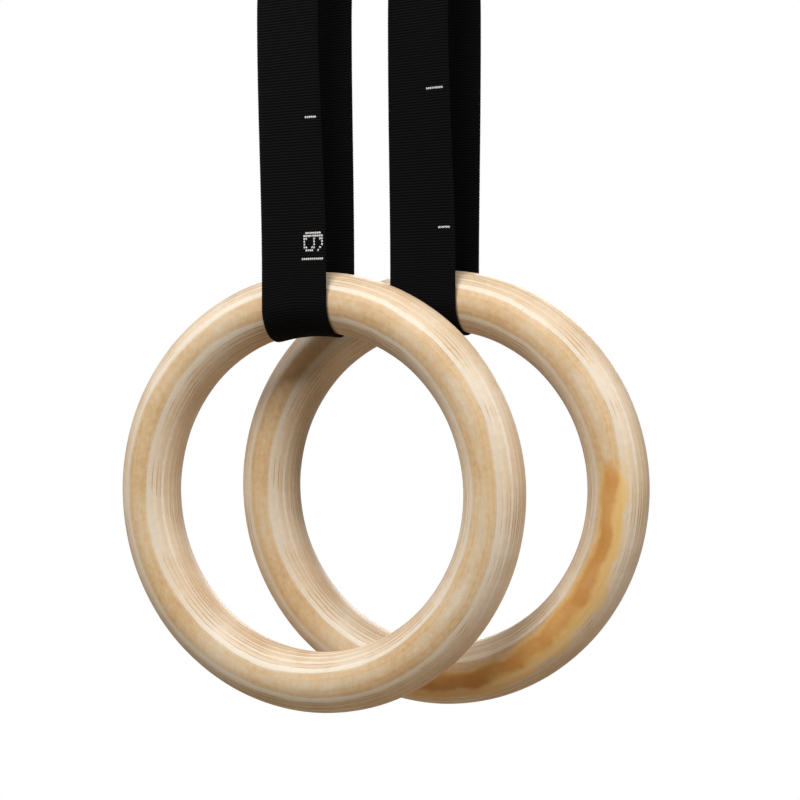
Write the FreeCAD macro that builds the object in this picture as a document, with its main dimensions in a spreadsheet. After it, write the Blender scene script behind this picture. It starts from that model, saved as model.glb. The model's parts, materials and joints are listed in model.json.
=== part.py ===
import FreeCAD, Part
import math
import os
import re

import Sketcher

# A pair of wooden gymnastics rings, each hung on a webbing strap that is one closed loop:
# over a bar, down behind, under the ring, up in front and through a cam buckle.
# Frame: origin at the centre of the bar seat of the left strap, +X along the bar,
# +Y towards the back, +Z up. Millimetres.

DIMENSIONS = {
    # wooden rings
    "ring_outer_dia": 235.5,
    "ring_tube_dia": 32.5,
    # webbing
    "web_width": 38.0,
    "web_thick": 1.6,
    "loop_bore": 33.9,
    "ring_gap": 0.3,
    # where each strap and ring hangs
    "right_strap_x": 56.5,
    "right_strap_y": 41.1,
    "left_ring_shift": 4.7,
    "right_ring_shift": 1.9,
    "left_drop": 480.0,
    "right_drop": 477.8,
    # heights below the bar centre
    "rear_loop_end": 40.0,
    "plate_top": 70.0,
    "plate_foot": 125.0,
    "anchor_depth": 60.0,
    "cam_depth": 97.0,
    "hem_top": 180.0,
    "hem_foot": 205.0,
    "lower_strap_top": 200.0,
    "bend_height": 14.0,
    # sewn fold round the anchor pin
    "fold_rise": 15.0,
    "fold_overlap": 26.0,
    # buckle
    "sheet_thick": 2.4,
    "plate_gap": 0.15,
    "cheek_gap": 0.8,
    "cheek_reach": 21.0,
    "cheek_top": 52.0,
    "cheek_foot": 121.0,
    "corner_radius": 5.0,
    "anchor_radius": 3.0,
    "cam_pin_radius": 2.5,
    "pin_gap": 0.05,
    "rivet_head": 1.2,
    "rivet_flare": 1.8,
    "cam_offset": 10.5,
    "cam_side_gap": 0.8,
    "cam_hub_radius": 6.0,
    "spring_slot": 11.0,
    "spring_slot_radius": 9.0,
    "spring_wire": 1.0,
    "spring_coil_radius": 3.9,
    "spring_pitch": 1.3,
    "spring_length": 7.8,
    # sewing thread
    "thread_width": 0.9,
    "thread_proud": 0.35,
    "stitch_margin": 4.0,
}

# Names for lengths that several sub-parts share, worked out from the driving dimensions.
DERIVED = {
    "HALF_BORE": "loop_bore / 2",
    "OUTER_BORE": "(loop_bore / 2 + web_thick)",
    "HALF_WIDTH": "web_width / 2",
    "TUBE_RADIUS": "ring_tube_dia / 2",
    "RING_RADIUS": "(ring_outer_dia - ring_tube_dia) / 2",
    "HOLE_RADIUS": "(ring_outer_dia / 2 - ring_tube_dia)",
    "TURN_RADIUS": "(sheet_thick / 2 + plate_gap)",
    "PLATE_Y": "-(loop_bore / 2 + web_thick + sheet_thick / 2 + plate_gap)",
    "TAIL_FACE": "(loop_bore / 2 + web_thick + sheet_thick + 2 * plate_gap)",
    "WRAP_RADIUS": "(anchor_radius + pin_gap)",
    "ANCHOR_Y": "-(loop_bore / 2 + web_thick + anchor_radius + pin_gap)",
    "CAM_Y": "-(loop_bore / 2 + 2 * web_thick + sheet_thick + 2 * plate_gap + cam_offset)",
    "INSIDE_WIDTH": "(web_width + 2 * cheek_gap)",
    "FRAME_WIDTH": "(web_width + 2 * cheek_gap + 2 * sheet_thick)",
}

# A cylinder along +X whose open half (Angle 180) faces up or down.
ALONG_X = FreeCAD.Rotation(FreeCAD.Vector(0, 1, 0), 90)
ARCH_UP = FreeCAD.Rotation(FreeCAD.Vector(1, 0, 0), 90) * ALONG_X
ARCH_DOWN = FreeCAD.Rotation(FreeCAD.Vector(1, 0, 0), -90) * ALONG_X
RISE_ALONG_Z = FreeCAD.Rotation(FreeCAD.Vector(1, 0, 0), 90)

doc = FreeCAD.newDocument("gymnastics_rings")
sheet = doc.addObject("Spreadsheet::Sheet", "Dimensions")
for row, (alias, value) in enumerate(DIMENSIONS.items(), start=1):
    sheet.set(f"A{row}", alias.replace("_", " "))
    sheet.set(f"B{row}", str(value))
    sheet.setAlias(f"B{row}", alias)
doc.recompute()

nodes = []


def cells(text):
    """Write a formula in the sheet's terms: derived names opened up, aliases made cell references."""
    for name, formula in DERIVED.items():
        text = re.sub(rf"\b{name}\b", f"({formula})", text)
    return re.sub(r"[a-z][a-z_]+", lambda m: "Dimensions." + m[0] if m[0] in DIMENSIONS else m[0], text)


def bind(thing, **formulas):
    """Tie properties of a document object to the sheet."""
    for name, formula in formulas.items():
        thing.setExpression(name, cells(formula))
    return thing


def place(thing, x, y, z, turn=None):
    """Put a document object at a point given by three formulas, turned if asked."""
    if turn is not None:
        thing.Placement = FreeCAD.Placement(FreeCAD.Vector(0, 0, 0), turn)
    for axis, formula in zip("xyz", (x, y, z)):
        thing.setExpression(f"Placement.Base.{axis}", cells(formula))
    return thing


def box(x, y, z, length, depth, height):
    """A box from its lowest corner, with its three sides."""
    block = bind(doc.addObject("Part::Box", "Block"), Length=length, Width=depth, Height=height)
    return place(block, x, y, z)


def rod(x, y, z, radius, length, turn=ALONG_X, half=False):
    """A rod that starts at x and runs along +X; half of one faces up or down by its turn."""
    bar = bind(doc.addObject("Part::Cylinder", "Rod"), Radius=radius, Height=length)
    bar.Angle = 180 if half else 360
    return place(bar, x, y, z, turn)


def half_shell(x, y, z, inner, outer, length, turn):
    """Half a tube of webbing, bent round something that lies along X."""
    shell = doc.addObject("Part::Cut", "HalfShell")
    shell.Base = rod(x, y, z, outer, length, turn, half=True)
    shell.Tool = rod(x, y, z, inner, length, turn, half=True)
    return shell


def joined(parts):
    """One solid out of several that touch or overlap."""
    whole = doc.addObject("Part::MultiFuse", "Joined")
    whole.Shapes = parts
    whole.Refine = True
    return whole


def grouped(parts):
    """Several separate solids that share a node."""
    group = doc.addObject("Part::Compound", "Group")
    group.Links = parts
    return group


def keep(name, thing):
    """Make a finished object a node of the assembly."""
    thing.Label = name
    nodes.append(thing)
    return thing


class Side:
    """Where one strap and its ring hang, as formulas."""

    def __init__(self, name, x, y, drop, ring_shift):
        self.name, self.x, self.y, self.drop = name, x, y, drop
        self.ring_x = f"{x} + {ring_shift}"
        self.edge = f"{x} - HALF_WIDTH"
        # the flat sling clears the curved underside of the ring at its further edge
        lowest = f"sqrt(HOLE_RADIUS^2 - (HALF_WIDTH + {ring_shift})^2)"
        self.sling_z = f"{lowest} - ring_gap + HALF_BORE - {drop}"

    def behind(self, distance):
        return f"{self.y} + {distance}"

    def strip(self, y, z_low, z_high, thick="web_thick"):
        """A straight run of webbing across X, between two heights."""
        return box(self.edge, self.behind(y), z_low, "web_width", thick, f"({z_high}) - ({z_low})")


# ---------------------------------------------------------------- ring and webbing

def make_ring(side):
    """The wooden ring: a torus whose axis runs front to back."""
    ring = doc.addObject("Part::Torus", "Torus")
    bind(ring, Radius1="RING_RADIUS", Radius2="TUBE_RADIUS")
    keep(f"{side.name}_ring", place(ring, side.ring_x, side.y, f"-{side.drop}", RISE_ALONG_Z))


def make_bar_loop(side):
    """The top of the strap: over the bar, and down to a sewn fold round the anchor pin."""
    arch = half_shell(side.edge, side.y, "0", "HALF_BORE", "OUTER_BORE", "web_width", ARCH_UP)
    rear_leg = side.strip("HALF_BORE", "-rear_loop_end", "0")
    front_leg = side.strip("-OUTER_BORE", "-anchor_depth", "0")
    eye = half_shell(side.edge, side.behind("ANCHOR_Y"), "-anchor_depth", "WRAP_RADIUS",
                     "WRAP_RADIUS + web_thick", "web_width", ARCH_DOWN)
    # the end comes back up past the front of the pin and leans in to lie on the front leg
    front_face = "OUTER_BORE + 2 * WRAP_RADIUS"
    pin_top = "WRAP_RADIUS - anchor_depth"
    past_pin = side.strip(f"-({front_face}) - web_thick", "-anchor_depth", pin_top)
    lean = doc.addObject("Part::Wedge", "LeaningEnd")
    bind(lean, Xmin="0", X2min="0", Xmax="web_width", X2max="web_width",
         Ymin="0", Ymax="fold_rise - WRAP_RADIUS", Zmin=front_face, Zmax=f"{front_face} + web_thick",
         Z2min="OUTER_BORE", Z2max="OUTER_BORE + web_thick")
    place(lean, side.edge, side.y, pin_top, RISE_ALONG_Z)
    end = side.strip("-OUTER_BORE - web_thick", "fold_rise - anchor_depth",
                     "fold_rise + fold_overlap - anchor_depth")
    keep(f"{side.name}_bar_loop", joined([arch, rear_leg, front_leg, eye, past_pin, lean, end]))


def make_runs(side):
    """The straight webbing between the bar and the ring, in front and behind."""
    upper = {"front": ("-OUTER_BORE", "-plate_top"), "rear": ("HALF_BORE", "-rear_loop_end")}
    foot = f"{side.sling_z} + bend_height"
    for where, (y, top) in upper.items():
        keep(f"{side.name}_{where}_run", side.strip(y, "-lower_strap_top", top))
        keep(f"{side.name}_{where}_strap", side.strip(y, foot, "-lower_strap_top"))
    bends = [side.strip(y, side.sling_z, foot) for y, top in upper.values()]
    keep(f"{side.name}_strap_bends", grouped(bends))


def make_sling(side):
    """The turn of webbing that the ring rests in."""
    keep(f"{side.name}_ring_sling",
         half_shell(side.edge, side.y, side.sling_z, "HALF_BORE", "OUTER_BORE", "web_width", ARCH_DOWN))


def make_plate_turn(side):
    """Webbing that goes over the buckle's plate and down through the cam to the mouth."""
    turn = half_shell(side.edge, side.behind("PLATE_Y"), "-plate_top", "TURN_RADIUS",
                      "TURN_RADIUS + web_thick", "web_width", ARCH_UP)
    down = side.strip("-TAIL_FACE - web_thick", "-plate_foot", "-plate_top")
    keep(f"{side.name}_plate_turn", joined([turn, down]))


def make_tail(side):
    """The loose end below the mouth, and its hem folded double and sewn."""
    keep(f"{side.name}_tail_web", side.strip("-TAIL_FACE - web_thick", "-hem_top", "-plate_foot"))
    keep(f"{side.name}_tail_hem",
         side.strip("-TAIL_FACE - 2 * web_thick", "-hem_foot", "-hem_top", "2 * web_thick"))


# ---------------------------------------------------------------- sewing

def stitch_frame(side, front, low, high):
    """Thread sewn as a box on the front face of a doubled strap, with two rows across it."""
    across = "web_width - 2 * stitch_margin"
    left_edge = f"{side.edge} + stitch_margin"
    y = side.behind(f"-({front}) - thread_proud")
    rows = [f"{low} + stitch_margin - thread_width", f"({low} + {high}) / 2 - thread_width / 2",
            f"{high} - stitch_margin"]
    threads = [box(left_edge, y, z, across, "thread_proud", "thread_width") for z in rows]
    upright = f"({high}) - ({low}) - 2 * stitch_margin"
    for x in (f"{left_edge} - thread_width", f"{left_edge} + {across}"):
        threads.append(box(x, y, f"{low} + stitch_margin", "thread_width", "thread_proud", upright))
    return threads


def make_stitches(side):
    """The seams of the fold round the anchor pin and of the hem."""
    fold = stitch_frame(side, "OUTER_BORE + web_thick", "fold_rise - anchor_depth",
                        "fold_rise + fold_overlap - anchor_depth")
    keep(f"{side.name}_fold_stitches", grouped(fold))
    hem = stitch_frame(side, "TAIL_FACE + 2 * web_thick", "-hem_foot", "-hem_top")
    keep(f"{side.name}_hem_stitches", grouped(hem))


# ---------------------------------------------------------------- cam buckle

def origin_plane(body, role):
    return next(f for f in body.Origin.OriginFeatures if f.Role == role)


def side_sketch(body, name):
    """A sketch on the body's YZ plane: across it is Y, up it is Z."""
    sketch = body.newObject("Sketcher::SketchObject", name)
    sketch.AttachmentSupport = [(origin_plane(body, "YZ_Plane"), "")]
    sketch.MapMode = "FlatFace"
    return sketch


def hold(sketch, kind, places, formula):
    """A length constraint tied to the sheet."""
    number = sketch.addConstraint(Sketcher.Constraint(kind, *places, 1.0))
    sketch.setExpression(f"Constraints[{number}]", cells(formula))


def rectangle(sketch, y_low, z_low, y_high, z_high):
    """A level rectangle in front of and below the origin, held by its four sides. Each side is
    given as a distance from the origin, the far sides first."""
    corners = [FreeCAD.Vector(*p, 0) for p in ((-2, -2), (-1, -2), (-1, -1), (-2, -1))]
    first = sketch.GeometryCount
    for i in range(4):
        sketch.addGeometry(Part.LineSegment(corners[i], corners[(i + 1) % 4]), False)
    for i in range(4):
        sketch.addConstraint(Sketcher.Constraint("Coincident", first + i, 2, first + (i + 1) % 4, 1))
        level = "Horizontal" if i % 2 == 0 else "Vertical"
        sketch.addConstraint(Sketcher.Constraint(level, first + i))
    hold(sketch, "DistanceX", (first, 1, -1, 1), y_low)
    hold(sketch, "DistanceX", (first + 1, 1, -1, 1), y_high)
    hold(sketch, "DistanceY", (first, 1, -1, 1), z_low)
    hold(sketch, "DistanceY", (first + 2, 1, -1, 1), z_high)


def circle(sketch, y, z, radius):
    """A circle in front of and below the origin, at distances y and z."""
    ring = sketch.addGeometry(Part.Circle(FreeCAD.Vector(-1, -1, 0), FreeCAD.Vector(0, 0, 1), 1), False)
    hold(sketch, "DistanceX", (ring, 3, -1, 1), y)
    hold(sketch, "DistanceY", (ring, 3, -1, 1), z)
    hold(sketch, "Radius", (ring,), radius)


def pad(body, sketch, width):
    feature = body.newObject("PartDesign::Pad", "Pad")
    feature.Profile = sketch
    feature.Midplane = True
    feature.setExpression("Length", cells(width))
    doc.recompute()
    return feature


def pocket(body, sketch, width):
    """A cut to both sides of the middle plane; it has to take something away."""
    before = body.Shape.Volume
    feature = body.newObject("PartDesign::Pocket", "Pocket")
    feature.Profile = sketch
    feature.Midplane = True
    feature.setExpression("Length", cells(width))
    doc.recompute()
    if body.Shape.Volume > before - 1:
        raise SystemExit(f"{body.Name}: a pocket cut nothing")
    return feature


def make_buckle_frame(side):
    """Pressed steel: a plate behind, and two cheeks that hold the anchor pin and the cam pin."""
    body = doc.addObject("PartDesign::Body", "BuckleFrame")
    back, cheek_front = "OUTER_BORE + plate_gap", "OUTER_BORE + plate_gap + cheek_reach"
    outline = side_sketch(body, "Outline")
    rectangle(outline, cheek_front, "cheek_foot", back, "cheek_top")
    cheeks = pad(body, outline, "FRAME_WIDTH")
    rounded = body.newObject("PartDesign::Fillet", "CheekCorners")
    front_edges = [f"Edge{i}" for i, edge in enumerate(cheeks.Shape.Edges, start=1)
                   if abs(edge.tangentAt(edge.FirstParameter).x) > 0.9
                   and edge.BoundBox.YMax < -sheet.get("cheek_reach")]
    rounded.Base = (cheeks, front_edges)
    rounded.setExpression("Radius", cells("corner_radius"))
    doc.recompute()
    inside = side_sketch(body, "Inside")
    rectangle(inside, f"{cheek_front} + 1", "cheek_foot + 1", f"{back} + sheet_thick", "cheek_top - 1")
    pocket(body, inside, "INSIDE_WIDTH")
    over_plate = side_sketch(body, "OverPlate")
    rectangle(over_plate, f"{back} + sheet_thick + 1", "plate_top", f"{back} - 1", "cheek_top - 1")
    pocket(body, over_plate, "INSIDE_WIDTH")
    holes = side_sketch(body, "PinHoles")
    circle(holes, "-ANCHOR_Y", "anchor_depth", "anchor_radius + pin_gap")
    circle(holes, "-CAM_Y", "cam_depth", "cam_pin_radius + pin_gap")
    pocket(body, holes, "FRAME_WIDTH + 2")
    keep(f"{side.name}_buckle_frame", place(body, side.x, side.y, "0"))


def make_pins(side):
    """The anchor pin in the sewn fold and the pin that the cam turns on, both riveted over."""
    pins = {"anchor_pin": ("ANCHOR_Y", "-anchor_depth", "anchor_radius"),
            "cam_pin": ("CAM_Y", "-cam_depth", "cam_pin_radius")}
    for name, (y, z, radius) in pins.items():
        start, end = f"{side.x} - FRAME_WIDTH / 2", f"{side.x} + FRAME_WIDTH / 2"
        y = side.behind(y)
        shaft = rod(start, y, z, radius, "FRAME_WIDTH")
        heads = [rod(x, y, z, f"{radius} + rivet_flare", "rivet_head")
                 for x in (f"{start} - rivet_head", end)]
        keep(f"{side.name}_{name}", joined([shaft, *heads]))


# the cam's teeth: how many, the angle of the first and the step to the next in degrees, how deep
# they are, how much each reaches further than the last, and how far they stay off the webbing
TEETH = 6
FIRST_TOOTH = 8.0
TOOTH_STEP = -9.0
TOOTH_DEPTH = 0.9
TOOTH_SWELL = 0.16
TOOTH_CLEARANCE = 0.1
# the thumb tab, from the pin: up its front, over its tip and down its back
THUMB_TAB = [(-10.0, 5.0), (-16.5, 13.5), (-18.5, 20.5), (-17.6, 22.6), (-15.4, 22.4),
             (-14.2, 20.0), (-12.2, 15.0), (-7.6, 9.2)]


def cam_outline():
    """The lever seen from the side, about its pin: a hub, a nose with teeth that swells
    downwards, and a thumb tab that rises in front. Pairs of distances, +y towards the webbing."""
    hub = sheet.get("cam_hub_radius")
    reach = sheet.get("cam_offset") - TOOTH_CLEARANCE
    points = []
    for tooth in range(TEETH):
        angle = math.radians(FIRST_TOOTH + TOOTH_STEP * tooth)
        root_angle = angle + math.radians(TOOTH_STEP) * 0.72
        tip = min(reach + TOOTH_SWELL * tooth, reach / math.cos(angle))
        root = tip - TOOTH_DEPTH
        points.append((tip * math.cos(angle), tip * math.sin(angle)))
        points.append((root * math.cos(root_angle), root * math.sin(root_angle)))
    # round under the hub, up and over the thumb tab, and back to the first tooth
    points += [(3.2, -7.4), (0.0, -hub - 0.6), (-3.6, -hub + 1.0), (-hub, -1.2)]
    points += THUMB_TAB
    points += [(-2.0, hub + 0.6), (3.4, hub - 0.4)]
    return points


def make_cam(side):
    """The toothed cam lever, slotted in the middle for its spring."""
    body = doc.addObject("PartDesign::Body", "CamLever")
    profile = side_sketch(body, "Profile")
    points = [FreeCAD.Vector(y, z, 0) for y, z in cam_outline()]
    for start, end in zip(points, points[1:] + points[:1]):
        profile.addGeometry(Part.LineSegment(start, end), False)
    pad(body, profile, "web_width - cam_side_gap")
    bore = side_sketch(body, "Bore")
    hole = bore.addGeometry(Part.Circle(FreeCAD.Vector(0, 0, 0), FreeCAD.Vector(0, 0, 1), 1), False)
    bore.addConstraint(Sketcher.Constraint("Coincident", hole, 3, -1, 1))
    hold(bore, "Radius", (hole,), "cam_pin_radius + pin_gap")
    pocket(body, bore, "web_width")
    slot = side_sketch(body, "SpringSlot")
    gap = slot.addGeometry(Part.Circle(FreeCAD.Vector(0, 0, 0), FreeCAD.Vector(0, 0, 1), 2), False)
    slot.addConstraint(Sketcher.Constraint("Coincident", gap, 3, -1, 1))
    hold(slot, "Radius", (gap,), "spring_slot_radius")
    pocket(body, slot, "spring_slot")
    keep(f"{side.name}_cam_lever", place(body, side.x, side.behind("CAM_Y"), "-cam_depth"))


def make_spring(side):
    """The torsion spring that shuts the cam, wound round the cam pin."""
    helix = doc.addObject("Part::Helix", "SpringLine")
    bind(helix, Radius="spring_coil_radius", Pitch="spring_pitch", Height="spring_length")
    wire = doc.addObject("Part::Circle", "SpringWire")
    bind(wire, Radius="spring_wire / 2")
    wire.Placement = FreeCAD.Placement(FreeCAD.Vector(sheet.get("spring_coil_radius"), 0, 0),
                                       FreeCAD.Rotation(FreeCAD.Vector(1, 0, 0), 90))
    coil = doc.addObject("Part::Sweep", "SpringCoil")
    coil.Sections, coil.Spine, coil.Solid, coil.Frenet = [wire], (helix, ["Edge1"]), True, True
    doc.recompute()
    keep(f"{side.name}_cam_spring",
         place(coil, f"{side.x} - spring_length / 2", side.behind("CAM_Y"), "-cam_depth", ALONG_X))


# ---------------------------------------------------------------- the pair

sides = [
    Side("left", "0", "0", "left_drop", "left_ring_shift"),
    Side("right", "right_strap_x", "right_strap_y", "right_drop", "right_ring_shift"),
]
for each in sides:
    for make in (make_ring, make_bar_loop, make_runs, make_sling, make_plate_turn, make_tail,
                 make_stitches, make_buckle_frame, make_pins, make_cam, make_spring):
        make(each)
doc.recompute()

for thing in doc.Objects:
    if {"Invalid", "Error"} & set(thing.State):
        raise SystemExit(f"{thing.Label}: failed to recompute")
for node in nodes:
    if node.Shape.isNull() or not node.Shape.isValid() or node.Shape.Volume <= 0:
        raise SystemExit(f"{node.Label}: bad shape")

os.makedirs("parts", exist_ok=True)
for node in nodes:
    node.Shape.exportStep(f"parts/{node.Label}.step")
    print(f"{node.Label}: {len(node.Shape.Solids)} solid(s), {node.Shape.Volume / 1000:.2f} cm3")
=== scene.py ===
# %% [markdown]
# # A pair of wooden gymnastics rings
#
# Two birch plywood rings hang in black webbing. Each strap is one loop: over a bar, down
# behind, under the ring, up in front and through a cam buckle, with a loose tail.
# The CAD frame gives every size and place. This script gives the surfaces: turned plywood,
# ribbed webbing with woven marks, sewing, and plated steel.

# %% Load the frame
import json
import math

import bpy
import numpy as np
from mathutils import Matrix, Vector

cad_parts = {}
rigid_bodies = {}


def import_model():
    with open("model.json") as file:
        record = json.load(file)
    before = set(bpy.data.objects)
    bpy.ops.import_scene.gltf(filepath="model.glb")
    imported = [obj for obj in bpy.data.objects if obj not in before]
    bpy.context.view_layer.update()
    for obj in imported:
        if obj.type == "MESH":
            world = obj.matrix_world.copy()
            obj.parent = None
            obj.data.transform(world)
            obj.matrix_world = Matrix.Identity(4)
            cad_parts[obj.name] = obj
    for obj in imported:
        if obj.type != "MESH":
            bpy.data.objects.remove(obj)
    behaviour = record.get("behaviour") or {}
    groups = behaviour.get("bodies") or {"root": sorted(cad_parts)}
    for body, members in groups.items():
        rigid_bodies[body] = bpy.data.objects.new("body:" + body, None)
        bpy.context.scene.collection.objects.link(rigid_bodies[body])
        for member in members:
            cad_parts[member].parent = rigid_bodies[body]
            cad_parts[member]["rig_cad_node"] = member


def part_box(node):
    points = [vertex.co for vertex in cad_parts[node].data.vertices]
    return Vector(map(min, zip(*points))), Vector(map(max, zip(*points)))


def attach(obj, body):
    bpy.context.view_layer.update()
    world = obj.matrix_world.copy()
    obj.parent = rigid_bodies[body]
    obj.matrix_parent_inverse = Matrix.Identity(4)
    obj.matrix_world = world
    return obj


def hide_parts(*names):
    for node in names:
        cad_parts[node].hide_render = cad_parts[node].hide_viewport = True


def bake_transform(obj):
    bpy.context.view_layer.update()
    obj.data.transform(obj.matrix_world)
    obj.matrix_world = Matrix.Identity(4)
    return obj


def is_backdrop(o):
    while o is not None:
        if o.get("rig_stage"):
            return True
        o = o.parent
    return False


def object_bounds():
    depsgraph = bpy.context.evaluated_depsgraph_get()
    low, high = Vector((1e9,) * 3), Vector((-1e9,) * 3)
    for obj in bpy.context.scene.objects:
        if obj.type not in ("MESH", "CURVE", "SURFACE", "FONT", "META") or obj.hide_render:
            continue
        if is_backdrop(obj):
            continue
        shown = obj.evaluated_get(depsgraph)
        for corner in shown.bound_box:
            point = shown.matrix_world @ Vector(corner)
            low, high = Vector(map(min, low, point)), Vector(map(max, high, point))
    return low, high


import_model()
cad_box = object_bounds()
MM = 0.001
SIDES = ("left", "right")

# %% [markdown]
# ## Reading the frame
#
# A piece could be placed with numbers typed in twice, here and in the CAD file, but then the
# two can drift apart. Every place below is taken from the boxes of the CAD nodes instead.

# %% Where each strap and ring is
WEB_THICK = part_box("left_rear_run")[1].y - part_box("left_rear_run")[0].y


class Hanger:
    """The places that the pieces of one side are built from, in metres."""

    def __init__(self, side):
        sling_low, sling_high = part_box(f"{side}_ring_sling")
        ring_low, ring_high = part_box(f"{side}_ring")
        self.side = side
        self.x = (sling_low.x + sling_high.x) / 2
        self.y = (sling_low.y + sling_high.y) / 2
        self.width = sling_high.x - sling_low.x
        self.run_y = (sling_high.y - sling_low.y - WEB_THICK) / 2
        self.sling_z = sling_high.z
        self.ring = (ring_low + ring_high) / 2
        self.tube_radius = (ring_high.y - ring_low.y) / 2
        self.ring_radius = (ring_high.x - ring_low.x) / 2 - self.tube_radius
        self.strap_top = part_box(f"{side}_front_strap")[1].z
        self.front_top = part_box(f"{side}_front_run")[1].z

    def body(self, name):
        return f"{self.side}_{name}"


hangers = {side: Hanger(side) for side in SIDES}
for hanger in hangers.values():
    print(hanger.side, "ring centre", [round(c / MM, 1) for c in hanger.ring],
          "tube", round(2 * hanger.tube_radius / MM, 1), "mm")

# %% [markdown]
# ## Camera
#
# The camera stands level with the rings, a little under a metre away and 23 degrees to the
# right of square on, with a short telephoto lens. It aims between the two rings.

# %% Set up the camera
LENS = 82.9
CAMERA_AZIMUTH = math.radians(23.1)
CAMERA_DISTANCE = 0.9664
CAMERA_RISE = -0.0032
aim = hangers["left"].ring + Vector((48.6, 0, 49.25)) * MM
back = Vector((math.sin(CAMERA_AZIMUTH), -math.cos(CAMERA_AZIMUTH), 0))
bpy.ops.object.camera_add(location=aim + back * CAMERA_DISTANCE + Vector((0, 0, CAMERA_RISE)))
camera = bpy.context.object
camera.name = "camera"
camera.data.lens = LENS
camera.rotation_euler = (aim - camera.location).to_track_quat("-Z", "Y").to_euler()
bpy.context.scene.camera = camera
print("camera at", [round(c, 3) for c in camera.location])

# %% [markdown]
# ## Small tools
#
# Colours are written as sRGB hex, as a painter's chart gives them, and turned to the linear
# values that a shader works in by one function. One more function adds a shader node and
# links it, which keeps each material short enough to read in one go.

# %% Colour and node helpers
def hex_colour(code):
    """An sRGB hex code as linear red, green, blue and alpha."""
    channels = [int(code[i:i + 2], 16) / 255 for i in (1, 3, 5)]
    return [c / 12.92 if c <= 0.04045 else ((c + 0.055) / 1.055) ** 2.4 for c in channels] + [1.0]


def add_node(tree, kind, inputs, out=0, stops=(), **settings):
    """Add a node with its settings, fill its inputs with values or links, return one output.

    The stops are those of a colour ramp: pairs of place and hex colour.
    """
    node = tree.nodes.new("ShaderNode" + kind)
    for name, value in settings.items():
        setattr(node, name, value)
    for number, (place, code) in enumerate(stops):
        elements = node.color_ramp.elements
        stop = elements[number] if number < len(elements) else elements.new(place)
        stop.position = place
        stop.color = hex_colour(code)
    for socket, value in inputs.items():
        if isinstance(value, bpy.types.NodeSocket):
            tree.links.new(value, node.inputs[socket])
        else:
            node.inputs[socket].default_value = value
    return node.outputs[out]


def new_material(name, **shader_values):
    """A material, its node tree and its main shader, with what is the same all over set on it."""
    material = bpy.data.materials.new(name)
    material.use_nodes = True
    tree = material.node_tree
    shader = tree.nodes["Principled BSDF"]
    for socket, value in shader_values.items():
        shader.inputs[socket.replace("_", " ")].default_value = value
    return material, tree, shader


print("helpers ready; mid grey is", [round(c, 3) for c in hex_colour("#808080")])

# %% Modelling helpers
def nothing_selected():
    """Leave edit mode and deselect everything, since operators act on all that is selected."""
    if bpy.context.mode != "OBJECT":
        bpy.ops.object.mode_set(mode="OBJECT")
    bpy.ops.object.select_all(action="DESELECT")


def only(piece):
    """Select one piece and make it the active one."""
    nothing_selected()
    piece.select_set(True)
    bpy.context.view_layer.objects.active = piece


def settle(piece, name, material, smooth_angle=40):
    """Name a piece, bring it to the origin with its place in its mesh, and give its finish."""
    only(piece)
    bpy.ops.object.transform_apply(location=True, rotation=True, scale=True)
    piece.name = name
    piece.data.materials.clear()
    piece.data.materials.append(material)
    bpy.ops.object.shade_smooth_by_angle(angle=math.radians(smooth_angle))
    nothing_selected()
    return piece


def copied(pattern, place, turned=(0, 0, 0)):
    """A copy of a small piece at a place."""
    only(pattern)
    bpy.ops.object.duplicate(linked=False)
    made = bpy.context.object
    made.location = place
    made.rotation_euler = turned
    return made


def joined(pieces):
    """Small pieces as one."""
    nothing_selected()
    for piece in pieces:
        piece.select_set(True)
    bpy.context.view_layer.objects.active = pieces[0]
    bpy.ops.object.join()
    return bpy.context.object


def triangles(piece):
    piece.data.calc_loop_triangles()
    return len(piece.data.loop_triangles)


print("modelling helpers ready")

# %% [markdown]
# ## Birch plywood
#
# The rings are turned from a thick board of birch plies, 1.5 mm each, that lie across the
# ring's axis. Turning cuts through them, so each ply shows as a band that follows the ring:
# wide on the front crown, and thinner and thinner towards the inner and outer faces.
# The two face plies are tan, and the plies between them are cream with fine grey-brown lines.
# The plies' grain runs up and across by turns. Where the surface cuts a ply's grain end on it
# is darker and pinker.
#
# A flat picture of wood wrapped round a torus would stretch and would show one board. A solid
# pattern in the ring's own coordinates cuts the way real plywood does, so that is used here.

# %% Plywood material
PLY = 1.5 * MM
GROWTH_LAYER = 0.28 * MM
PLY_WANDER, PLY_RIPPLE, PLY_LEAN = 0.9 * MM, 0.5 * MM, -0.005
FACE_FADE_IN, FACE_FADE_OUT = 0.45 * MM, 0.35 * MM
WOOD_TONES = [(0.34, "#f0e9da"), (0.58, "#e7dbc6"), (0.84, "#dabb8f"), (1.0, "#c79a68")]


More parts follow.
